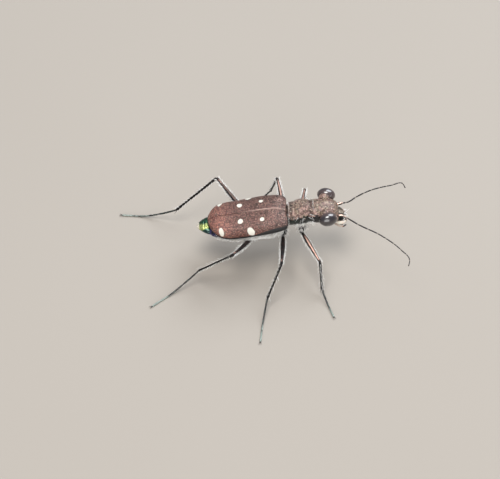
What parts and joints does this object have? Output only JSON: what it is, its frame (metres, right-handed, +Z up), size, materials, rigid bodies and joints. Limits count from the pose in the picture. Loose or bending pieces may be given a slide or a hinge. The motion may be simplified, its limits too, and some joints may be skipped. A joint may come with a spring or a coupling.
{
  "type": "tiger beetle",
  "caption": "Slim long-legged tiger beetle standing alert, with big eyes, spotted copper-brown wing cases and long feelers.",
  "frame": {"origin": "on the ground plane, at the middle of the whole beetle's outline seen from above, legs and feelers included", "axes": "+X forwards, from tail to head; +Y to the beetle's left; +Z up"},
  "size_m": [0.0288, 0.0188, 0.0073],
  "materials": {
    "elytra": "coppery red-brown cuticle with fine pits, cream spots and a dark edge",
    "cuticle": "bronze cuticle with fine wrinkles and a metallic gleam",
    "underside": "black-blue polished cuticle with white hairs lying on the flanks",
    "tail": "metallic green cuticle turning gold on top, pale at the tip",
    "eyes": "glossy dark purple-brown compound eyes",
    "mouth": "cream cuticle with dark tips",
    "legs": "dark bronze cuticle, coppery on the thighs, with rows of white bristles",
    "feet": "dark cuticle turning turquoise towards the claws",
    "antennae": "dark brown, coppery at the first joint, with fine pale hairs at the joints"
  },
  "bodies": {
    "root": {"head": "cuticle", "prothorax": "cuticle", "scutellum": "cuticle", "pterothorax": "underside", "abdomen": "underside", "abdomen_tip": "tail", "elytron_left": "elytra", "eye_left": "eyes", "mandible_left": "mouth", "maxillary_palp_left": "mouth", "labial_palp_left": "mouth", "scape_left": "antennae", "antenna_left": "antennae", "elytron_right": "elytra", "eye_right": "eyes", "mandible_right": "mouth", "maxillary_palp_right": "mouth", "labial_palp_right": "mouth", "scape_right": "antennae", "antenna_right": "antennae", "labrum": "mouth", "coxa_front_left": "underside", "femur_front_left": "legs", "tibia_front_left": "legs", "tarsus_front_left": "feet", "coxa_front_right": "underside", "femur_front_right": "legs", "tibia_front_right": "legs", "tarsus_front_right": "feet", "coxa_middle_left": "underside", "femur_middle_left": "legs", "tibia_middle_left": "legs", "tarsus_middle_left": "feet", "coxa_middle_right": "underside", "femur_middle_right": "legs", "tibia_middle_right": "legs", "tarsus_middle_right": "feet", "coxa_hind_left": "underside", "femur_hind_left": "legs", "tibia_hind_left": "legs", "tarsus_hind_left": "feet", "coxa_hind_right": "underside", "femur_hind_right": "legs", "tibia_hind_right": "legs", "tarsus_hind_right": "feet"}
  },
  "joints": []
}
